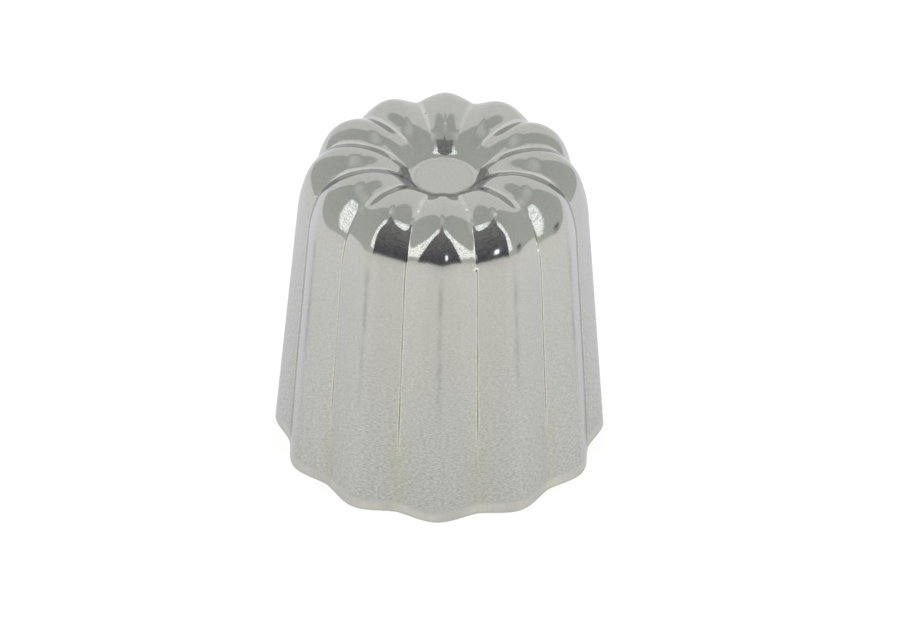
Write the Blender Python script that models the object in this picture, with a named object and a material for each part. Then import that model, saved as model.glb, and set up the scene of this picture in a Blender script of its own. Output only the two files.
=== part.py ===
# Fluted canele mould pressed from one sheet of bright metal, standing upside down on its mouth.
# The origin is the centre of the mouth plane, +Z points up to the crown, and one ridge faces -Y.

import math

import bmesh
import bpy

# Driving sizes in metres: the mouth is measured over the ridges. The arc over the tops of the lobes keeps
# a clearance to the wall's line, and the disc lies below those tops, inside a small step and a hollow.
MOUTH_RADIUS = 0.0275
HEIGHT = 0.0545
SHEET = 0.0008
SHOULDER_RADIUS = 0.0255
CREST_RADIUS = 0.0082
CREST_CLEARANCE = 0.00055021
DISC_RADIUS = 0.0048
DISC_DEPTH = 0.00492
STEP_RUN = 0.0004
STEP_RISE = 0.0001
HOLLOW_RADIUS = 0.003

# How far the grooves lie below the ridges, along the skin's normal. They run out before the step.
MOUTH_FLUTE = 0.00172
SHOULDER_FLUTE = 0.00122
CREST_FLUTE = 0.002

# Lobes round the mould, how far the ridges of the wall lean in, how far the crest's arc turns down into
# the dimple before a wider arc takes over, and the slope that is left where the hollow meets the step.
LOBE_COUNT = 12
WALL_LEAN = math.radians(5.2)
CREST_TURN = math.radians(20)
HOLLOW_TILT = math.radians(28)

# A ridge is rounded over this share of half a lobe. Stage 0 is the mouth, 1 the foot of the shoulder, 2
# the crest and 3 the step: the grooves are deepest just outside the crest, and that depth fades to the
# shoulder's on one side, and to none in the dimple on the other.
RIDGE_SOFTNESS = 0.14
DEEPEST_STAGE = 1.93
SHOULDER_FADE = 0.3
DIMPLE_FADE = 0.56

# Rows of faces along each stretch, and columns from a ridge to the next groove as shares of half a lobe.
WALL_ROWS = 4
SHOULDER_ROWS = 11
DIMPLE_ROWS = 10
COLUMN_SHARES = (0.0, 0.15, 0.4, 0.7)

UPRIGHT = math.pi / 2


def clearScene():
    for item in list(bpy.data.objects):
        bpy.data.objects.remove(item, do_unlink=True)


def polar(centre, radius, angle):
    # Point of a circle in the meridian plane, as (distance from the axis, height).
    return (centre[0] + radius * math.cos(angle), centre[1] + radius * math.sin(angle))


def crestPlace():
    # Centre of the crest arc: as far in from the ridge of the wall as its radius and clearance ask.
    height = HEIGHT - CREST_RADIUS
    inset = (CREST_RADIUS + CREST_CLEARANCE) / math.cos(WALL_LEAN) + height * math.tan(WALL_LEAN)
    return (MOUTH_RADIUS - inset, height)


def shoulderCentre(crestCentre):
    # The shoulder arc touches the wall's line, and the crest arc touches it from inside.
    cosLean = math.cos(WALL_LEAN)
    sinLean = math.sin(WALL_LEAN)
    inset = MOUTH_RADIUS * cosLean - SHOULDER_RADIUS
    besideR = inset * cosLean - crestCentre[0]
    besideZ = inset * sinLean - crestCentre[1]
    along = besideZ * cosLean - besideR * sinLean
    reach = SHOULDER_RADIUS - CREST_RADIUS
    travel = -along - math.sqrt(along ** 2 + reach ** 2 - besideR ** 2 - besideZ ** 2)
    return (inset * cosLean - travel * sinLean, inset * sinLean + travel * cosLean)


def arcPiece(centre, radius, start, end):
    # An arc whose normal turns from start to end, as its length and a place with that normal's angle.
    # A hollow arc has a negative radius.
    def place(share):
        angle = start + (end - start) * share
        return polar(centre, radius, angle), angle
    return (abs(radius * (end - start)), place)


def linePiece(start, end, angle):
    # A straight run between two points, whose normal stays at one angle.
    def place(share):
        return tuple(a + (b - a) * share for a, b in zip(start, end)), angle
    return (math.dist(start, end), place)


def dimpleArcs(crestCentre, stepTop):
    # The wider arc leaves the crest arc at its turn and touches the hollow arc that ends on the step.
    # Gives the hollow's centre, the wider arc's centre and radius, and the slope where the two touch.
    hollow = polar(stepTop, HOLLOW_RADIUS, UPRIGHT + HOLLOW_TILT)
    joint = polar(crestCentre, CREST_RADIUS, UPRIGHT + CREST_TURN)
    acrossR = joint[0] - hollow[0]
    acrossZ = joint[1] - hollow[1]
    lift = acrossZ * math.cos(CREST_TURN) - acrossR * math.sin(CREST_TURN)
    radius = (acrossR ** 2 + acrossZ ** 2 - HOLLOW_RADIUS ** 2) / (2 * (HOLLOW_RADIUS + lift))
    centre = polar(joint, -radius, UPRIGHT + CREST_TURN)
    slope = math.atan2(centre[0] - hollow[0], hollow[1] - centre[1])
    return hollow, centre, radius, slope


def evenSteps(pieces, rows):
    # The starts of equal steps along arcs and lines that follow each other.
    total = sum(length for length, _ in pieces)
    points = []
    for row in range(rows):
        left = total * row / rows
        for length, place in pieces:
            if left < length:
                points.append(place(left / length))
                break
            left -= length
    return points


def fluteDepth(stage):
    # Straight from the mouth to the shoulder, then a bell curve with its own fade on either side.
    if stage < 1:
        return MOUTH_FLUTE + (SHOULDER_FLUTE - MOUTH_FLUTE) * stage
    if stage < DEEPEST_STAGE:
        base, fade = SHOULDER_FLUTE, SHOULDER_FADE
    else:
        base, fade = 0.0, DIMPLE_FADE
    return base + (CREST_FLUTE - base) * math.exp(-((stage - DEEPEST_STAGE) / fade) ** 2)


def ridgeMeridian(inset):
    # Rows of (radius, height, angle of the normal, groove depth) along a ridge, from the mouth to the
    # disc. The outer skin has no inset, and the inner skin is set in by the sheet's thickness.
    crestCentre = crestPlace()
    shoulder = shoulderCentre(crestCentre)
    discHeight = HEIGHT - DISC_DEPTH
    stepTop = (DISC_RADIUS + STEP_RUN, discHeight + STEP_RISE)

    hollow, dimpleCentre, dimpleRadius, slope = dimpleArcs(crestCentre, stepTop)
    meeting = math.atan2(crestCentre[1] - shoulder[1], crestCentre[0] - shoulder[0])
    turned = UPRIGHT + CREST_TURN
    facing = UPRIGHT + slope

    wallFoot = (MOUTH_RADIUS - inset / math.cos(WALL_LEAN), 0.0)
    wallTop = polar(shoulder, SHOULDER_RADIUS - inset, WALL_LEAN)
    wall = [linePiece(wallFoot, wallTop, WALL_LEAN)]
    shoulderAndCrest = [
        arcPiece(shoulder, SHOULDER_RADIUS - inset, WALL_LEAN, meeting),
        arcPiece(crestCentre, CREST_RADIUS - inset, meeting, UPRIGHT),
    ]
    dimple = [
        arcPiece(crestCentre, CREST_RADIUS - inset, UPRIGHT, turned),
        arcPiece(dimpleCentre, dimpleRadius - inset, turned, facing),
        arcPiece(hollow, -HOLLOW_RADIUS - inset, facing, UPRIGHT + HOLLOW_TILT),
    ]

    rows = []
    stretches = ((wall, WALL_ROWS), (shoulderAndCrest, SHOULDER_ROWS), (dimple, DIMPLE_ROWS))
    for stage, (pieces, count) in enumerate(stretches):
        for index, (point, angle) in enumerate(evenSteps(pieces, count)):
            rows.append((*point, angle, fluteDepth(stage + index / count)))

    # Then the top of the step, where the inner skin is mitred, and the edge of the disc.
    mitre = inset * math.tan(HOLLOW_TILT / 2)
    rows.append((stepTop[0] + mitre, stepTop[1] - inset, UPRIGHT, 0.0))
    rows.append((DISC_RADIUS, discHeight - inset, UPRIGHT, 0.0))
    return rows


def lobeColumns():
    # Columns all round as (angle from -Y, share of the groove's depth reached): flat flanks that meet
    # in a rounded ridge, with a sharp groove between one lobe and the next.
    halfLobe = math.pi / LOBE_COUNT
    flank = math.hypot(1.0, RIDGE_SOFTNESS) - RIDGE_SOFTNESS
    shares = [-1.0] + [-share for share in reversed(COLUMN_SHARES[1:])] + list(COLUMN_SHARES)
    columns = []
    for lobe in range(LOBE_COUNT):
        for share in shares:
            reached = (math.hypot(share, RIDGE_SOFTNESS) - RIDGE_SOFTNESS) / flank
            columns.append(((2 * lobe + share) * halfLobe, reached))
    return columns


def addRing(bm, row, columns):
    radius, height, angle, depth = row
    ring = []
    for turn, reached in columns:
        out = radius - depth * reached * math.cos(angle)
        up = height - depth * reached * math.sin(angle)
        ring.append(bm.verts.new((out * math.sin(turn), -out * math.cos(turn), up)))
    return ring


def joinRings(bm, first, second):
    for index in range(len(first)):
        following = (index + 1) % len(first)
        bm.faces.new((first[index], first[following], second[following], second[index]))


def addSkin(bm, inset, columns):
    # Rings of vertices from the mouth to the disc, joined by quads and closed by the disc.
    rings = [addRing(bm, row, columns) for row in ridgeMeridian(inset)]
    for vertex in rings[0]:
        vertex.co.z = 0.0
    for lower, upper in zip(rings, rings[1:]):
        joinRings(bm, lower, upper)
    bm.faces.new(rings[-1])
    return rings[0]


def makeMetal():
    # Bright pressed sheet: nearly a mirror, and a little warm.
    metal = bpy.data.materials.new("bright_pressed_sheet")
    metal.use_nodes = True
    shader = metal.node_tree.nodes["Principled BSDF"]
    shader.inputs["Base Color"].default_value = (0.55, 0.55, 0.52, 1.0)
    shader.inputs["Metallic"].default_value = 1.0
    shader.inputs["Roughness"].default_value = 0.12
    return metal


def makeMould():
    # One closed body: the outer skin, the inner skin turned to face the cavity, and the flat rim.
    bm = bmesh.new()
    columns = lobeColumns()
    outerRim = addSkin(bm, 0.0, columns)
    outerFaceCount = len(bm.faces)
    innerRim = addSkin(bm, SHEET, columns)
    bm.faces.ensure_lookup_table()
    bmesh.ops.reverse_faces(bm, faces=bm.faces[outerFaceCount:])
    joinRings(bm, innerRim, outerRim)
    mesh = bpy.data.meshes.new("mould_shell")
    bm.to_mesh(mesh)
    bm.free()
    mesh.shade_smooth()
    mesh.set_sharp_from_angle(angle=math.radians(30))
    mesh.materials.append(makeMetal())
    mould = bpy.data.objects.new("mould_shell", mesh)
    bpy.context.scene.collection.objects.link(mould)
    return mould


clearScene()
makeMould()
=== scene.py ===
import math

import bpy
import numpy as np
from mathutils import Matrix, Vector


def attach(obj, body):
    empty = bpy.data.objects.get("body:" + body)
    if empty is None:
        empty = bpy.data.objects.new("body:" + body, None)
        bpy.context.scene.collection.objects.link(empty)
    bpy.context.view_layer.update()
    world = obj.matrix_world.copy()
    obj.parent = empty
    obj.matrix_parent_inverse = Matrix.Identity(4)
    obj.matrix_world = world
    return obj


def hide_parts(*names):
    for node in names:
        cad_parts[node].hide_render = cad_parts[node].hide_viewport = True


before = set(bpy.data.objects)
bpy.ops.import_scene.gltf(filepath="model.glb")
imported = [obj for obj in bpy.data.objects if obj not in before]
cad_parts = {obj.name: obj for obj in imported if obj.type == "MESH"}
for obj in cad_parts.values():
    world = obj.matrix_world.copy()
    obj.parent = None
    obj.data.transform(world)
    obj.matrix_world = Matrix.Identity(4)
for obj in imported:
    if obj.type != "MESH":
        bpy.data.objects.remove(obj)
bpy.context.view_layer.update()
millimetre = 0.001
print("frame loaded:", sorted(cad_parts))


# Adds one shader node: settings go to a socket of that name or number, or else to a property.
def addNode(tree, kind, settings=None, links=None):
    node = tree.nodes.new("ShaderNode" + kind)
    for name, value in (settings or {}).items():
        if isinstance(name, int) or name in node.inputs:
            node.inputs[name].default_value = value
        else:
            setattr(node, name, value)
    for name, source in (links or {}).items():
        tree.links.new(source, node.inputs[name])
    return node


# sRGB hex to linear: c / 12.92 below 0.04045, else ((c + 0.055) / 1.055) ^ 2.4
def hexColour(code):
    srgb = np.array([int(code[i:i + 2], 16) for i in (1, 3, 5)]) / 255
    linear = np.where(srgb <= 0.04045, srgb / 12.92, ((srgb + 0.055) / 1.055) ** 2.4)
    return (*linear.tolist(), 1.0)


# Smooth 0 to 1 step: t^2 (3 - 2t), with t running from 0 at low to 1 at high.
def smoothStep(value, low, high):
    t = np.clip((value - low) / (high - low), 0, 1)
    return t * t * (3 - 2 * t)


# Mouth to disc along a ridge, in mm and degrees, as the pressed shell has it.
mould = {
    "mouthRadius": 27.5,
    "height": 54.5,
    "sheet": 0.8,
    "wallLean": 5.2,
    "shoulderRadius": 25.5,
    "crestInset": 13.0,
    "crestRadius": 8.2,
    "crestTurn": 20.0,
    "discRadius": 4.8,
    "discDepth": 4.92,
    "stepRun": 0.4,
    "stepRise": 0.1,
    "hollowRadius": 3.0,
    "hollowTilt": 28.0,
    "lobes": 12,
    # stage 0 mouth, 1 foot of the shoulder, 2 crest, 3 edge of the disc's step
    # groove depths at the mouth, the foot of the shoulder and just outside the crest
    "flutes": (1.72, 1.22, 2.0),
    "deepestStage": 1.93,
    # that depth fades to the shoulder's and to none over these stages outward and inward
    "crestFades": (0.36, 0.5),
    "softStages": (0.0, 1.0, 1.35, 1.5, 1.62, 1.75, 2.0, 2.35, 2.7, 3.0),
    "ridgeSoftness": (0.14, 0.2, 0.3, 0.34, 0.42, 0.48, 0.4, 0.25, 0.12, 0.1),
    "grooveSoftness": (0.035, 0.035, 0.035, 0.035, 0.06, 0.18, 0.22, 0.12, 0.05, 0.04),
    # near the mouth the section runs over into a wave: its share there, and up to what height
    "mouthWave": 0.75,
    "mouthWaveHeight": 14.0,
    "fluteEnd": (2.8, 3.0),
    # rows on the wall, shoulder, dimple, step and disc of either skin, and columns on half a lobe
    "outerRows": (44, 64, 60, 8, 3),
    "innerRows": (14, 26, 22, 3, 2),
    "halfLobeColumns": 14,
    "arcPoints": (120, 90, 60),
    "sharpAngle": 50.0,
}


# Arc in the meridian plane: centre + radius (cos a, sin a), a from start to end; a is the normal's angle
# too, and a negative radius makes the arc hollow. Columns are radius, height, normal angle.
def arc(centre, radius, start, end, count):
    angle = np.linspace(start, end, count)
    return np.stack([centre[0] + radius * np.cos(angle), centre[1] + radius * np.sin(angle), angle], 1)


# Points at equal steps of length along a run of arcs, without the last one.
def evenRows(run, count):
    length = np.concatenate([[0], np.cumsum(np.hypot(*np.diff(run[:, :2], axis=0).T))])
    places = np.linspace(0, length[-1], count, endpoint=False)
    return np.stack([np.interp(places, length, run[:, i]) for i in range(3)], 1)


# Ridge meridian of one skin: wall line, shoulder arc, crest arc, dimple arc, hollow fillet, S-shaped step
# and disc. The arcs touch each other, and inset moves the whole line in along its normal.
def ridgeMeridian(shape, inset, rows):
    upright = math.pi / 2
    lean = math.radians(shape["wallLean"])
    crest = (shape["mouthRadius"] - shape["crestInset"], shape["height"] - shape["crestRadius"])

    # the shoulder's centre lies parallel to the wall and crestRadius short of the crest's centre
    inward = shape["mouthRadius"] * math.cos(lean) - shape["shoulderRadius"]
    beside = (inward * math.cos(lean) - crest[0], inward * math.sin(lean) - crest[1])
    along = beside[1] * math.cos(lean) - beside[0] * math.sin(lean)
    reach = shape["shoulderRadius"] - shape["crestRadius"]
    travel = -along - math.sqrt(along ** 2 + reach ** 2 - beside[0] ** 2 - beside[1] ** 2)
    shoulder = (crest[0] + beside[0] - travel * math.sin(lean),
                crest[1] + beside[1] + travel * math.cos(lean))
    meeting = math.atan2(crest[1] - shoulder[1], crest[0] - shoulder[0])

    # the crest arc runs on into the dimple, a wider arc leaves it at crestTurn, and a hollow arc that
    # touches that one ends at the step with hollowTilt
    discHeight = shape["height"] - shape["discDepth"]
    stepTop = (shape["discRadius"] + shape["stepRun"], discHeight + shape["stepRise"])
    turn = math.radians(shape["crestTurn"])
    tilt = math.radians(shape["hollowTilt"])
    bend = shape["hollowRadius"]
    hollow = stepTop + bend * np.array([-math.sin(tilt), math.cos(tilt)])
    leaving = np.array([-math.sin(turn), math.cos(turn)])
    joint = crest + shape["crestRadius"] * leaving
    apart = joint - hollow
    dimpleRadius = (apart @ apart - bend ** 2) / (2 * (bend + apart @ leaving))
    dimple = joint - dimpleRadius * leaving
    slope = math.atan2(dimple[0] - hollow[0], hollow[1] - dimple[1])

    foot = np.array([shape["mouthRadius"] - inset / math.cos(lean), 0.0, lean])
    many, some, few = shape["arcPoints"]
    wallTop = arc(shoulder, shape["shoulderRadius"] - inset, lean, meeting, many)
    wall = foot + (wallTop[0] - foot) * np.linspace(0, 1, rows[0], endpoint=False)[:, None]
    crestTop = arc(crest, shape["crestRadius"] - inset, meeting, upright, some)
    crown = np.concatenate([wallTop, crestTop[1:]])
    inner = np.concatenate([
        arc(crest, shape["crestRadius"] - inset, upright, upright + turn, some),
        arc(dimple, dimpleRadius - inset, upright + turn, upright + slope, some)[1:],
        arc(hollow, -bend - inset, upright + slope, upright + tilt, few)[1:],
    ])
    parts = [wall, evenRows(crown, rows[1]), evenRows(inner, rows[2])]
    stages = [np.arange(count) / count + i for i, count in enumerate(rows[:3])]

    # the step drops as t^2 (3 - 2t) over its run, and then the flat disc
    share = np.linspace(0, 1, rows[3], endpoint=False)
    drop = share ** 2 * (3 - 2 * share) * shape["stepRise"]
    steep = 6 * share * (1 - share) * shape["stepRise"] / shape["stepRun"]
    parts.append(np.stack([stepTop[0] - share * shape["stepRun"], stepTop[1] - inset - drop,
                           upright + np.arctan(steep)], 1))
    stages.append(3 + share)
    flat = np.linspace(shape["discRadius"], shape["discRadius"] / rows[4], rows[4])
    parts.append(np.stack([flat, np.full(rows[4], discHeight - inset), np.full(rows[4], upright)], 1))
    stages.append(np.full(rows[4], 4.0))
    return np.concatenate(parts), np.concatenate(stages)


# One skin as x, y, z grids: the ridge meridian turned round the axis and sunk along its normal by
# depth(stage) * reached(u), where u is 0 on a ridge and 1 in a groove.
def skinGrid(shape, inset, rows):
    line, stage = ridgeMeridian(shape, inset, rows)
    radius, height, angle = (column[:, None] for column in line.T)
    stage = stage[:, None]
    half = math.pi / shape["lobes"]
    bunched = (1 - np.cos(np.linspace(0, math.pi, shape["halfLobeColumns"], endpoint=False))) / 2
    lobe = np.concatenate([-1 + bunched, bunched])
    turns = np.arange(shape["lobes"])[:, None] * 2 + lobe[None, :]
    turn = (turns.reshape(-1) - shape["lobes"])[None, :] * half
    u = np.abs(np.tile(lobe, shape["lobes"]))[None, :]

    # flat flanks with a rounded ridge: (hypot(u, s) - s) / (hypot(1, s) - s); the groove's own radius
    # comes from 1 - hypot(1 - u, g); near the mouth the section runs over into (1 - cos(pi u)) / 2
    soft = np.interp(stage, shape["softStages"], shape["ridgeSoftness"])
    groove = np.interp(stage, shape["softStages"], shape["grooveSoftness"])
    eased = 1 - np.hypot(1 - u, groove) / np.hypot(1, groove)
    flanks = (np.hypot(eased, soft) - soft) / (np.hypot(1, soft) - soft)
    wave = (1 - np.cos(math.pi * u)) / 2
    blend = shape["mouthWave"] * (1 - smoothStep(height, 0, shape["mouthWaveHeight"]))
    reached = flanks + (wave - flanks) * blend
    mouth, foot, crest = shape["flutes"]
    deepest = shape["deepestStage"]
    fade = np.where(stage < deepest, *shape["crestFades"])
    base = np.where(stage < 1, mouth + (foot - mouth) * stage, foot * (stage < deepest))
    depth = base + (crest - base) * np.exp(-((stage - deepest) / fade) ** 2) * (stage >= 1)
    depth = depth * (1 - smoothStep(stage, *shape["fluteEnd"]))
    out = radius - depth * reached * np.cos(angle)
    up = height - depth * reached * np.sin(angle)
    up[0] = 0
    return np.broadcast_arrays(out * np.sin(turn), -out * np.cos(turn), up, turn)


# Quads between neighbouring rings of a grid whose columns close on themselves.
def ringFaces(rows, columns, start=0):
    first = start + np.arange(rows - 1)[:, None] * columns
    here = np.arange(columns)[None, :]
    after = (here + 1) % columns
    above = first + columns
    return np.stack([first + here, first + after, above + after, above + here], -1).reshape(-1, 4)


# The closed shell: outer skin, inner skin turned round, the flat raw rim and a fan on each disc.
def addMould(shape):
    outer = skinGrid(shape, 0.0, shape["outerRows"])
    inner = skinGrid(shape, shape["sheet"], shape["innerRows"])
    columns = outer[0].shape[1]
    outerCount = outer[0].size
    points = [np.stack(skin[:3], -1).reshape(-1, 3) for skin in (outer, inner)]
    poles = [[0, 0, skin[2][-1, 0]] for skin in (outer, inner)]
    points = np.concatenate([*points, np.array(poles)]) * millimetre

    quads = [ringFaces(outer[0].shape[0], columns)]
    quads.append(ringFaces(inner[0].shape[0], columns, outerCount)[:, ::-1])
    rim = np.arange(columns)
    after = (rim + 1) % columns
    quads.append(np.stack([outerCount + rim, outerCount + after, after, rim], 1))
    fans = []
    lastRings = (outerCount - columns, outerCount + inner[0].size - columns)
    for i, ring in enumerate(lastRings):
        pole = np.full(columns, outerCount + inner[0].size + i)
        fan = np.stack([ring + rim, ring + after, pole], 1)
        fans.append(fan if i == 0 else fan[:, ::-1])

    mesh = bpy.data.meshes.new("mould")
    mesh.from_pydata(points.tolist(), [], np.concatenate(quads).tolist() + np.concatenate(fans).tolist())

    # UV in mm: round the wall at the mouth's radius, and up by height
    turn = np.concatenate([outer[3].reshape(-1), inner[3].reshape(-1), [0, 0]])
    rise = points[:, 2] / millimetre
    corner = np.empty(len(mesh.loops), dtype=np.int32)
    mesh.loops.foreach_get("vertex_index", corner)
    starts = np.empty(len(mesh.polygons), dtype=np.int32)
    counts = np.empty(len(mesh.polygons), dtype=np.int32)
    mesh.polygons.foreach_get("loop_start", starts)
    mesh.polygons.foreach_get("loop_total", counts)
    first = np.repeat(corner[starts], counts)
    along = turn[corner]
    along = along + 2 * math.pi * np.round((turn[first] - along) / (2 * math.pi))
    uvs = np.stack([along * shape["mouthRadius"], rise[corner]], 1)
    layer = mesh.uv_layers.new(name="sheetUV")
    layer.uv.foreach_set("vector", uvs.astype(np.float32).ravel())

    mesh.update()
    mesh.shade_smooth()
    mesh.set_sharp_from_angle(angle=math.radians(shape["sharpAngle"]))
    piece = bpy.data.objects.new("mould", mesh)
    bpy.context.scene.collection.objects.link(piece)
    return piece


# Tinned sheet steel, deep drawn: to the eye a near mirror on the crown, and lower down the wall, where
# the metal was thinned and slid over the die, an orange-peel grain that breaks the mirror up into a soft
# grey. The sheet is neutral, a little warm, and tarnished pale yellow in the grooves by the mouth.
# Its colour also holds painted shade and painted highlights along the ridges, grooves and disc, a painted
# sheen at glancing angles, and painted glints in its pits.
metal = {
    "colour": "#BEBEBA",
    # painted sheen: at glancing angles the sheet's colour is painted lighter, standing in for the light it
    # gives back there
    "paintedSheenColour": "#CBCBCA",
    "glancing": (0.5, 0.78),
    # the shader's own tint at the very edge
    "edgeTint": "#E6E6E8",
    "roughness": 0.07,
    "wallRoughness": 0.22,
    # the peel fades in from the crown down and stops short of the rim, between these shares of the lower
    # height; sizes and heights in mm
    "grainSize": 0.25,
    "grainStretch": 2.6,
    "grainHeight": 0.005,
    "grainShade": 1.1,
    "grainHeights": (4.0, 50.0),
    "rimFade": (0.35, 0.65),
    # the crown has a shallower peel, and a faint mottling of its colour that goes with it
    "crownPeelSize": 0.4,
    "crownPeelHeight": 0.002,
    "crownShade": 0.22,
    # slow waves of the whole sheet, and the same noise's range that makes the marks patchy
    "waveSize": 5.0,
    "waveHeight": 0.012,
    "patches": (0.38, 0.58, 0.35),
    # how unsteadily the ridge marks run
    "swaySize": 1.8,
    "sway": 0.7,
    # painted shade and painted highlights along ridges, grooves and the disc, tarnish, and a dark line at the
    # rim: how far from their line they reach, over which heights, how strongly
    "layers": (
        # painted shade: a broad darker band on either side of each ridge down the wall
        {"name": "ridgeShadeHalo", "line": "ridge", "reach": (0.1, 1.2), "heights": (12, 30, 44, 50),
         "colour": "#A6A6AB", "share": 0.3},
        # painted shade: a thin, swaying dark line along the top of each ridge
        {"name": "ridgeShadeLine", "line": "ridge", "reach": (0.05, 0.6), "heights": (17, 32, 43, 47),
         "colour": "#83837F", "share": 0.27},
        {"name": "grooveStain", "line": "groove", "reach": (0.5, 2.4), "heights": (-2, -1, 10, 22),
         "colour": "#B9BA9F", "share": 0.4},
        # painted highlight: lighter lines along the grooves on the crown
        {"name": "crownGrooveHighlight", "line": "groove", "reach": (0.35, 1.15), "heights": (51, 52, 60, 61),
         "colour": "#E4E5E0", "share": 0.5},
        # painted highlight: thin light lines on either side of each groove
        {"name": "grooveGlint", "line": "groove", "reach": (0.22, 0.4), "heights": (9, 16, 49, 52),
         "colour": "#E0DFCF", "share": 0.6},
        # painted shade: a thin dark line in the bottom of each groove
        {"name": "grooveShadeLine", "line": "groove", "reach": (0.05, 0.2), "heights": (11, 18, 49, 52),
         "colour": "#74756C", "share": 0.75},
        {"name": "rimTarnish", "line": "rim", "reach": (1.3, 2.3), "heights": (-2, -1, 60, 61),
         "colour": "#D6D5CB", "share": 0.7},
        {"name": "rimEdge", "line": "rim", "reach": (0.2, 0.5), "heights": (-2, -1, 60, 61),
         "colour": "#8E8E8A", "share": 0.2},
        # painted highlight: a light ring at the disc's edge
        {"name": "discGlint", "line": "disc", "reach": (0.08, 0.3), "heights": (48, 49, 60, 61),
         "colour": "#E8E8E2", "share": 0.2},
        # painted shade: a dark ring just inside the disc's edge
        {"name": "discShade", "line": "discInside", "reach": (0.05, 0.3), "heights": (48, 49, 60, 61),
         "colour": "#A8A9A4", "share": 0.4},
    ),
    # radius of the two rings round the disc, in mm
    "discRings": (5.05, 4.65),
    # how far out a pit's full colour reaches, and its share there
    "pitCore": (0.4, 0.9),
    # small pits and drips of the press, drawn as spots of painted glint and painted shade: place and size in
    # mm, with the colour at the middle
    "pits": (
        ((-3.8, -14.7, 52.9), 0.42, "#E9E9E2"),
        ((3.8, -14.0, 53.0), 0.4, "#E9E9E2"),
        ((8.4, -15.9, 53.6), 0.42, "#E4E5DE"),
        ((-8.2, -15.9, 53.6), 0.36, "#D4D5CF"),
        ((0.1, 9.9, 53.2), 0.36, "#D8D9D4"),
        ((-3.2, 12.8, 53.0), 0.28, "#8A8B88"),
        ((5.5, -21.05, 46.5), 0.55, "#F0EFE6"),
        ((5.54, -21.12, 46.3), 0.28, "#55564F"),
        ((15.3, -15.5, 46.5), 0.36, "#F0EFE6"),
        ((15.0, -15.2, 47.6), 0.3, "#E8E7DC"),
    ),
}


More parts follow.
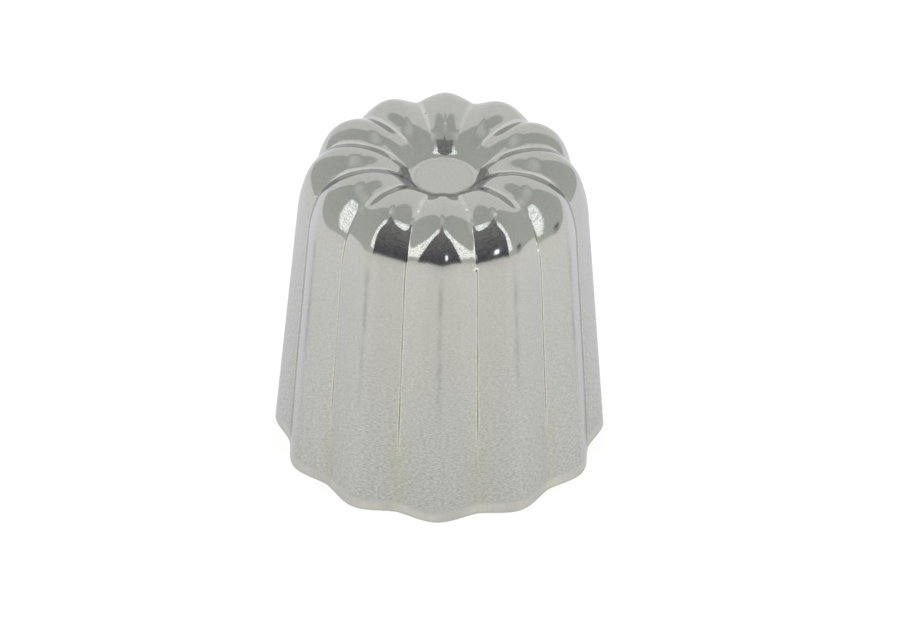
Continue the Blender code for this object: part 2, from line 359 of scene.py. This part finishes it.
def sheetMetal(settings, shape):
    material = bpy.data.materials.new("tinnedSheetDeepDrawn")
    material.use_nodes = True
    tree = material.node_tree
    shader = tree.nodes["Principled BSDF"]
    shader.inputs["Metallic"].default_value = 1.0
    shader.inputs["Specular Tint"].default_value = hexColour(settings["edgeTint"])

    place = addNode(tree, "TexCoord")
    sheet = addNode(tree, "UVMap", {"uv_map": "sheetUV"})
    spot = addNode(tree, "SeparateXYZ", links={0: sheet.outputs["UV"]})
    foot, top = settings["grainHeights"]
    fading = addNode(tree, "MapRange", {
        "From Min": foot, "From Max": top, "To Min": 1.0, "To Max": 0.0,
    }, {"Value": spot.outputs["Y"]})
    begin, full = settings["rimFade"]
    low = addNode(tree, "MapRange", {
        "interpolation_type": "SMOOTHSTEP", "From Min": foot * begin, "From Max": foot * full,
    }, {"Value": spot.outputs["Y"], "To Max": fading.outputs[0]})

    # the peel's grain is wider than tall
    squeeze = addNode(tree, "Mapping", {"Scale": (1 / settings["grainStretch"], 1.0, 1.0)},
                      {"Vector": sheet.outputs["UV"]})
    grain = addNode(tree, "TexNoise", {"Scale": 1 / settings["grainSize"], "Detail": 2.0, "Roughness": 0.6},
                    {"Vector": squeeze.outputs[0]})
    slow = addNode(tree, "TexNoise", {"Scale": 1 / (settings["waveSize"] * millimetre), "Detail": 2.0},
                   {"Vector": place.outputs["Object"]})
    peel = addNode(tree, "Math", {"operation": "MULTIPLY"}, {0: grain.outputs[0], 1: low.outputs[0]})
    slowBump = addNode(tree, "Bump", {"Strength": 1.0, "Distance": settings["waveHeight"] * millimetre},
                       {"Height": slow.outputs[0]})
    fine = addNode(tree, "TexNoise", {"Scale": 1 / (settings["crownPeelSize"] * millimetre), "Detail": 3.0},
                   {"Vector": place.outputs["Object"]})
    fineBump = addNode(tree, "Bump", {"Strength": 1.0, "Distance": settings["crownPeelHeight"] * millimetre},
                       {"Height": fine.outputs[0], "Normal": slowBump.outputs[0]})
    grainBump = addNode(tree, "Bump", {"Strength": 1.0, "Distance": settings["grainHeight"] * millimetre},
                        {"Height": peel.outputs[0], "Normal": fineBump.outputs[0]})
    tree.links.new(grainBump.outputs[0], shader.inputs["Normal"])
    rough = addNode(tree, "MapRange", {
        "To Min": settings["roughness"], "To Max": settings["wallRoughness"],
    }, {"Value": fading.outputs[0]})
    tree.links.new(rough.outputs[0], shader.inputs["Roughness"])

    # distances in mm from the nearest ridge and groove, on lines that sway a little
    halfLobe = math.pi * shape["mouthRadius"] / shape["lobes"]
    unsteady = addNode(tree, "TexNoise", {
        "Scale": 1 / settings["swaySize"], "Detail": 3.0, "Roughness": 0.6,
    }, {"Vector": sheet.outputs["UV"]})
    sway = addNode(tree, "Math", {
        "operation": "MULTIPLY_ADD", 1: settings["sway"], 2: -settings["sway"] / 2,
    }, {0: unsteady.outputs[0]})
    across = addNode(tree, "Math", {"operation": "ADD"}, {0: spot.outputs["X"], 1: sway.outputs[0]})
    ridge = addNode(tree, "Math", {"operation": "PINGPONG", 1: halfLobe}, {0: across.outputs[0]})
    straight = addNode(tree, "Math", {"operation": "PINGPONG", 1: halfLobe}, {0: spot.outputs["X"]})
    groove = addNode(tree, "Math", {"operation": "SUBTRACT", 0: halfLobe}, {1: straight.outputs[0]})
    lines = {"ridge": ridge.outputs[0], "groove": groove.outputs[0], "rim": spot.outputs["Y"]}
    flatten = (1 / millimetre, 1 / millimetre, 0)
    level = addNode(tree, "VectorMath", {"operation": "MULTIPLY", 1: flatten}, {0: place.outputs["Object"]})
    fromAxis = addNode(tree, "VectorMath", {"operation": "LENGTH"}, {0: level.outputs[0]})
    for name, radius in zip(("disc", "discInside"), settings["discRings"]):
        apart = addNode(tree, "Math", {"operation": "SUBTRACT", 1: radius}, {0: fromAxis.outputs["Value"]})
        lines[name] = addNode(tree, "Math", {"operation": "ABSOLUTE"}, {0: apart.outputs[0]}).outputs[0]
    begin, full, least = settings["patches"]
    patchy = addNode(tree, "MapRange", {"From Min": begin, "From Max": full, "To Min": least, "To Max": 1.0},
                     {"Value": slow.outputs[0]})

    # painted sheen: the sheet's colour is painted lighter where it is seen at a glancing angle
    facing = addNode(tree, "LayerWeight", {"Blend": 0.5})
    begin, full = settings["glancing"]
    sheenShare = addNode(tree, "MapRange", {
        "interpolation_type": "SMOOTHSTEP", "From Min": begin, "From Max": full,
    }, {"Value": facing.outputs["Facing"]})
    sheened = addNode(tree, "Mix", {"data_type": "RGBA", 6: hexColour(settings["colour"]),
                                  7: hexColour(settings["paintedSheenColour"])},
                    {0: sheenShare.outputs[0]})
    colour = sheened.outputs[2]

    # each layer's share is 1 on its line and 0 beyond its reach, and fades in and out over its heights
    for layer in settings["layers"]:
        begin, full, dying, end = layer["heights"]
        share = None
        for source, low0, low1, ends in (
            (lines[layer["line"]], *layer["reach"], (1.0, 0.0)),
            (spot.outputs["Y"], begin, full, (0.0, 1.0)),
            (spot.outputs["Y"], dying, end, (layer["share"], 0.0)),
        ):
            step = addNode(tree, "MapRange", {
                "interpolation_type": "SMOOTHSTEP", "From Min": low0, "From Max": low1,
                "To Min": ends[0], "To Max": ends[1],
            }, {"Value": source})
            share = addNode(tree, "Math", {"operation": "MULTIPLY"}, {
                0: step.outputs[0], 1: patchy.outputs[0] if share is None else share.outputs[0]})
        mixed = addNode(tree, "Mix", {"data_type": "RGBA", 7: hexColour(layer["colour"])},
                        {0: share.outputs[0], 6: colour})
        mixed.name = layer["name"]
        colour = mixed.outputs[2]

    # a pit's colour is full at its core and gone at its size, by distance from its centre
    core, most = settings["pitCore"]
    for centre, size, code in settings["pits"]:
        middle = tuple(value * millimetre for value in centre)
        reach = size * millimetre
        apart = addNode(tree, "VectorMath", {"operation": "DISTANCE", 1: middle},
                        {0: place.outputs["Object"]})
        share = addNode(tree, "MapRange", {
            "interpolation_type": "SMOOTHSTEP", "From Min": reach * core, "From Max": reach,
            "To Min": most, "To Max": 0.0,
        }, {"Value": apart.outputs["Value"]})
        mixed = addNode(tree, "Mix", {"data_type": "RGBA", 7: hexColour(code)},
                        {0: share.outputs[0], 6: colour})
        colour = mixed.outputs[2]

    # the grain shades the metal by 1 + (noise - 0.5) * strength, and the mottling by the same sum
    strength = addNode(tree, "Math", {"operation": "MULTIPLY", 1: settings["grainShade"]},
                       {0: low.outputs[0]})
    centred = addNode(tree, "Math", {"operation": "SUBTRACT", 1: 0.5}, {0: grain.outputs[0]})
    crownShade = addNode(tree, "Math", {
        "operation": "MULTIPLY_ADD", 1: settings["crownShade"], 2: 1 - settings["crownShade"] / 2,
    }, {0: fine.outputs[0]})
    shade = addNode(tree, "Math", {"operation": "MULTIPLY_ADD"}, {
        0: centred.outputs[0], 1: strength.outputs[0], 2: crownShade.outputs[0]})
    shaded = addNode(tree, "Mix", {"data_type": "RGBA", "blend_type": "MULTIPLY", 0: 1.0},
                     {6: colour, 7: shade.outputs[0]})
    tree.links.new(shaded.outputs[2], shader.inputs["Base Color"])
    return material


mouldPiece = addMould(mould)
mouldPiece.data.materials.append(sheetMetal(metal, mould))
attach(mouldPiece, "root")
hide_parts("mould_shell")
print("mould made:", len(mouldPiece.data.polygons), "faces")


# The camera stands where the photograph's did. Lengths in m, angles in degrees, the lens in mm.
view = {
    "target": (0.0, 0.0, 0.025),
    "distance": 0.7433,
    "azimuth": 0.333,
    "elevation": 36.54,
    "roll": 1.04,
    "lens": 179.95,
    "shift": (0.01157, -0.01993),
}


def addCamera(settings):
    camera = bpy.data.objects.new("camera", bpy.data.cameras.new("camera"))
    camera.data.lens = settings["lens"]
    camera.data.shift_x, camera.data.shift_y = settings["shift"]
    camera.data.clip_start = 0.01
    camera.data.clip_end = 50
    orbit = Matrix.Rotation(math.radians(settings["azimuth"]), 4, "Z")
    tip = Matrix.Rotation(math.radians(90 - settings["elevation"]), 4, "X")
    roll = Matrix.Rotation(math.radians(settings["roll"]), 4, "Z")
    away = Matrix.Translation((0, 0, settings["distance"]))
    camera.matrix_world = Matrix.Translation(settings["target"]) @ orbit @ tip @ roll @ away
    bpy.context.scene.collection.objects.link(camera)
    bpy.context.scene.camera = camera


addCamera(view)
print("camera placed")


# Matt white backdrop paper under the mould: the eye sees plain white with no gloss, and a soft share of
# the mould's shadow. In reflections it is a little warm in front, cool behind, with a painted shadow of
# the mould close to it and painted dimming far off. Lengths in m.
floor = {
    "radius": 6.0,
    "sides": 96,
    "colour": "#F4F4F2",
    "whiteShare": 0.86,
    "front": "#FAFAF5",
    "behind": "#FCFCFF",
    "tintFrom": (-0.08, 0.06),
    # distance from the axis where the painted shadow near the mould and the painted dimming far off begin and
    # end, and the level left
    "nearShadow": (0.027, 0.12, 0.9),
    "farLevel": (0.2, 0.9, 0.86),
    # how much less comes from in front, and the y over distance where that ends and begins
    "frontShade": 0.06,
    "frontCone": (-0.92, -0.8),
}

# Surroundings that only reflections see: a grey-green tent of nylon cloth, pale behind, with a dark
# opening towards the camera, crumpled foil reflectors down its sides and one small lamp in it. In the
# metal the cloth gives flat, soft-edged patches, and the foil broken streaks. A card's edges are rows of
# elevation, left and right azimuth in degrees, 0 towards the camera. Lengths in m.
tent = {
    "centre": (0.0, 0.0, 0.045),
    "radius": 0.34,
    "layerGap": 0.005,
    "cells": (96, 48),
    # the part of the creases' noise that is used, and how many there are to a metre if a card doesn't say
    "creaseRange": (0.36, 0.64),
    "creases": 130.0,
    "cards": (
        {"name": "canopy", "colours": ("#D3D6D2", "#C6C9C6"), "sag": 7.0,
         "edges": ((-1.5, -180, 180), (90, -180, 180))},
        {"name": "tentTop", "colours": ("#E2E4E1", "#E2E4E1"), "soft": (0, 0.9, 0),
         "edges": ((74, -180, 180), (90, -180, 180))},
        {"name": "backCloth", "colours": ("#F4F5F2", "#EBECE9"), "strength": 1.05,
         "soft": (0.06, 0.06, 0.06),
         "edges": ((-5, 143, 217), (0, 136, 224), (40, 128, 232), (76, 122, 238))},
        {"name": "reflectorLeft", "colours": ("#FFFFFC", "#F4FCFF"), "strength": 1.5, "crumple": 0.8,
         "soft": (0.12, 0.05, 0.15),
         "edges": ((0, -61, -30), (27, -61, -30), (43, -57, -30), (52, -54, -30), (60, -50, -18),
                   (66, -45, -13), (71, -38, -12))},
        {"name": "reflectorRight", "colours": ("#FFFFFC", "#F4FCFF"), "strength": 1.5, "crumple": 0.8,
         "soft": (0.12, 0.05, 0.15),
         "edges": ((0, 26, 58), (27, 26, 58), (43, 26, 54), (52, 26, 51), (60, 14, 47), (66, 9, 42),
                   (71, 8, 35))},
        {"name": "opening", "colours": ("#5F5E65", "#989998"), "crumple": 0.32, "creases": 40.0,
         "sag": 20.0, "soft": (0.02, 0.025, 0.05),
         "edges": ((-1.6, -45, 41), (35, -46, 42), (43, -44, 40), (50, -39, 34), (56, -32, 27),
                   (60, -26, 22), (65, -21, 18), (70, -18, 15), (75, -11, 8), (79, -4, 3))},
        {"name": "lampGlow", "colours": ("#8C9CB4", "#8C9CB4"), "soft": (0.5, 0.4, 0.5),
         "edges": ((1, 8, 28), (21, 8, 28))},
        {"name": "lamp", "colours": ("#FFFFFF", "#F4FAFF"), "strength": 2.8, "soft": (0.4, 0.35, 0.35),
         "edges": ((2, 12, 21), (14, 12, 21))},
        {"name": "stand", "colours": ("#7E807E", "#7E807E"), "soft": (0.45, 0.45, 0.45),
         "edges": ((-8.5, 67, 88), (4.5, 67, 88))},
    ),
}


def addStage(name, points, faces, material, uvs=None):
    mesh = bpy.data.meshes.new(name)
    mesh.from_pydata(points.tolist(), [], faces.tolist())
    if uvs is not None:
        corner = np.empty(len(mesh.loops), dtype=np.int32)
        mesh.loops.foreach_get("vertex_index", corner)
        mesh.uv_layers.new(name="cardUV").uv.foreach_set("vector", uvs[corner].astype(np.float32).ravel())
    mesh.materials.append(material)
    piece = bpy.data.objects.new(name, mesh)
    bpy.context.scene.collection.objects.link(piece)
    return piece


# Light Path's camera, glossy and transmission rays added up: 1 on each of them, 0 on the rest.
def seenRays(tree):
    path = addNode(tree, "LightPath")
    mirrored = addNode(tree, "Math", {"operation": "MAXIMUM"},
                       {0: path.outputs["Is Camera Ray"], 1: path.outputs["Is Glossy Ray"]})
    return addNode(tree, "Math", {"operation": "MAXIMUM"},
                   {0: mirrored.outputs[0], 1: path.outputs["Is Transmission Ray"]})


def addFloor(settings):
    material = bpy.data.materials.new("mattBackdropPaper")
    material.use_nodes = True
    tree = material.node_tree
    tree.nodes.clear()
    place = addNode(tree, "TexCoord").outputs["Object"]
    paper = addNode(tree, "BsdfDiffuse", {"Color": hexColour(settings["colour"])})
    across = addNode(tree, "SeparateXYZ", links={0: place})
    begin, full = settings["tintFrom"]
    behind = addNode(tree, "MapRange", {"From Min": begin, "From Max": full}, {"Value": across.outputs["Y"]})
    tint = addNode(tree, "Mix", {"data_type": "RGBA", 6: hexColour(settings["front"]),
                                 7: hexColour(settings["behind"])}, {0: behind.outputs[0]})
    away = addNode(tree, "VectorMath", {"operation": "LENGTH"}, {0: place})
    begin, full, least = settings["nearShadow"]
    near = addNode(tree, "MapRange", {"interpolation_type": "SMOOTHSTEP", "From Min": begin,
                                      "From Max": full, "To Min": least}, {"Value": away.outputs["Value"]})
    begin, full, least = settings["farLevel"]
    far = addNode(tree, "MapRange", {"From Min": begin, "From Max": full, "To Min": 1.0, "To Max": least},
                  {"Value": away.outputs["Value"]})
    level = addNode(tree, "Math", {"operation": "MULTIPLY"}, {0: near.outputs[0], 1: far.outputs[0]})

    # a little less comes from in front, where -y over the distance is near 1
    forward = addNode(tree, "Math", {"operation": "DIVIDE"},
                      {0: across.outputs["Y"], 1: away.outputs["Value"]})
    begin, full = settings["frontCone"]
    side = addNode(tree, "MapRange", {"interpolation_type": "SMOOTHSTEP", "From Min": begin, "From Max": full,
                                      "To Min": 1 - settings["frontShade"]}, {"Value": forward.outputs[0]})
    level = addNode(tree, "Math", {"operation": "MULTIPLY"}, {0: level.outputs[0], 1: side.outputs[0]})
    path = addNode(tree, "LightPath")
    seen = addNode(tree, "Math", {"operation": "MAXIMUM"},
                   {0: level.outputs[0], 1: path.outputs["Is Camera Ray"]})
    shown = addNode(tree, "Mix", {"data_type": "RGBA", 7: (1, 1, 1, 1)},
                    {0: path.outputs["Is Camera Ray"], 6: tint.outputs[2]})
    glow = addNode(tree, "Emission", links={0: shown.outputs[2], 1: seen.outputs[0]})
    share = addNode(tree, "Math", {"operation": "MULTIPLY", 1: settings["whiteShare"]},
                    {0: seenRays(tree).outputs[0]})
    both = addNode(tree, "MixShader", links={0: share.outputs[0], 1: paper.outputs[0], 2: glow.outputs[0]})
    addNode(tree, "OutputMaterial", links={"Surface": both.outputs[0]})
    turn = np.linspace(0, 2 * math.pi, settings["sides"], endpoint=False)
    points = np.stack([np.cos(turn), np.sin(turn), 0 * turn], 1) * settings["radius"]
    addStage("floor", points, np.arange(settings["sides"])[None, :], material)


# Patch of a sphere round the mould: s runs from its left edge to its right, and t from its foot to its
# top, where the elevation is foot + (top - foot) t less sag * sin(azimuth)^6 at the foot.
def addCard(settings, radius, card):
    wide, tall = settings["cells"]
    s, t = np.meshgrid(np.linspace(0, 1, wide + 1), np.linspace(0, 1, tall + 1))
    rise, left, right = np.array(card["edges"], dtype=float).T
    elevation = rise[0] + (rise[-1] - rise[0]) * t
    azimuth = np.interp(elevation, rise, left) * (1 - s) + np.interp(elevation, rise, right) * s
    turn = np.radians(azimuth)
    lift = np.radians(elevation - card.get("sag", 0.0) * np.sin(turn) ** 6 * (1 - t))
    points = np.stack([np.cos(lift) * np.sin(turn), -np.cos(lift) * np.cos(turn), np.sin(lift)], -1) * radius
    points = points.reshape(-1, 3) + np.array(settings["centre"])
    uvs = np.stack([s, t], -1).reshape(-1, 2)
    first = (np.arange(tall)[:, None] * (wide + 1) + np.arange(wide)[None, :]).reshape(-1)
    faces = np.stack([first, first + wide + 1, first + wide + 2, first + 1], 1)

    material = bpy.data.materials.new(card["name"])
    material.use_nodes = True
    tree = material.node_tree
    tree.nodes.clear()
    flat = addNode(tree, "UVMap", {"uv_map": "cardUV"})
    across = addNode(tree, "SeparateXYZ", links={0: flat.outputs[0]})
    foot, top = (hexColour(code) for code in card["colours"])
    colour = addNode(tree, "Mix", {"data_type": "RGBA", 6: foot, 7: top}, {0: across.outputs["Y"]})
    strength = card.get("strength", 1.0)
    light = addNode(tree, "Emission", {"Strength": strength}, {0: colour.outputs[2]})
    if "crumple" in card:
        place = addNode(tree, "TexCoord").outputs["Object"]
        creases = addNode(tree, "TexNoise", {
            "Scale": card.get("creases", settings["creases"]), "Detail": 3.0, "Roughness": 0.8,
        }, {"Vector": place})
        begin, full = settings["creaseRange"]
        level = addNode(tree, "MapRange", {
            "From Min": begin, "From Max": full,
            "To Min": strength * (1 - card["crumple"]), "To Max": strength * (1 + card["crumple"]),
        }, {"Value": creases.outputs[0]})
        tree.links.new(level.outputs[0], light.inputs["Strength"])
    shown = light
    if "soft" in card:
        # the sides, the foot and the top each fade in over their share of the card
        sides, foot, top = card["soft"]
        fade = None
        for axis, low, high in (("X", sides, sides), ("Y", foot, top)):
            for share, ends in ((low, (0.0, low)), (high, (1.0, 1.0 - high))):
                if share > 0:
                    edge = addNode(tree, "MapRange", {
                        "interpolation_type": "SMOOTHSTEP", "From Min": ends[0], "From Max": ends[1],
                    }, {"Value": across.outputs[axis]})
                    fade = edge if fade is None else addNode(
                        tree, "Math", {"operation": "MULTIPLY"}, {0: fade.outputs[0], 1: edge.outputs[0]})
        clear = addNode(tree, "BsdfTransparent")
        shown = addNode(tree, "MixShader",
                        links={0: fade.outputs[0], 1: clear.outputs[0], 2: light.outputs[0]})
    addNode(tree, "OutputMaterial", links={"Surface": shown.outputs[0]})
    piece = addStage(card["name"], points, faces, material, uvs)
    piece.visible_camera = False
    piece.visible_diffuse = False
    piece.visible_transmission = False
    piece.visible_volume_scatter = False
    piece.visible_shadow = False


addFloor(floor)
for layer, card in enumerate(tent["cards"]):
    addCard(tent, tent["radius"] - tent["layerGap"] * layer, card)
print("floor and tent set:", len(tent["cards"]), "cards")


# Two soft boxes and one overhead: energy in W, place and size in m.
lamps = (
    ("keyBox", (-0.7, -0.6, 0.9), 0.8, 9.0),
    ("fillBox", (0.8, -0.4, 0.8), 0.8, 7.0),
    ("topBox", (0.0, 0.3, 1.2), 1.0, 10.0),
)


def addLamps(rows):
    for name, place, size, energy in rows:
        lamp = bpy.data.lights.new(name, "AREA")
        lamp.size = size
        lamp.energy = energy
        box = bpy.data.objects.new(name, lamp)
        box.location = place
        box.rotation_euler = (Vector(view["target"]) - Vector(place)).to_track_quat("-Z", "Y").to_euler()
        box.visible_glossy = False
        bpy.context.scene.collection.objects.link(box)


# The world is white where it is seen, and lights the rest at a plain level.
worldLevel = 0.45


def addWorld(level):
    world = bpy.data.worlds.new("studio")
    bpy.context.scene.world = world
    world.use_nodes = True
    tree = world.node_tree
    tree.nodes.clear()
    strength = addNode(tree, "MapRange", {"To Min": level, "To Max": 1.0},
                       {"Value": seenRays(tree).outputs[0]})
    glow = addNode(tree, "Background", {"Color": (1, 1, 1, 1)}, {"Strength": strength.outputs[0]})
    addNode(tree, "OutputWorld", links={"Surface": glow.outputs[0]})


addLamps(lamps)
addWorld(worldLevel)
bpy.context.scene.view_settings.view_transform = "Standard"
print("lamps and world set")
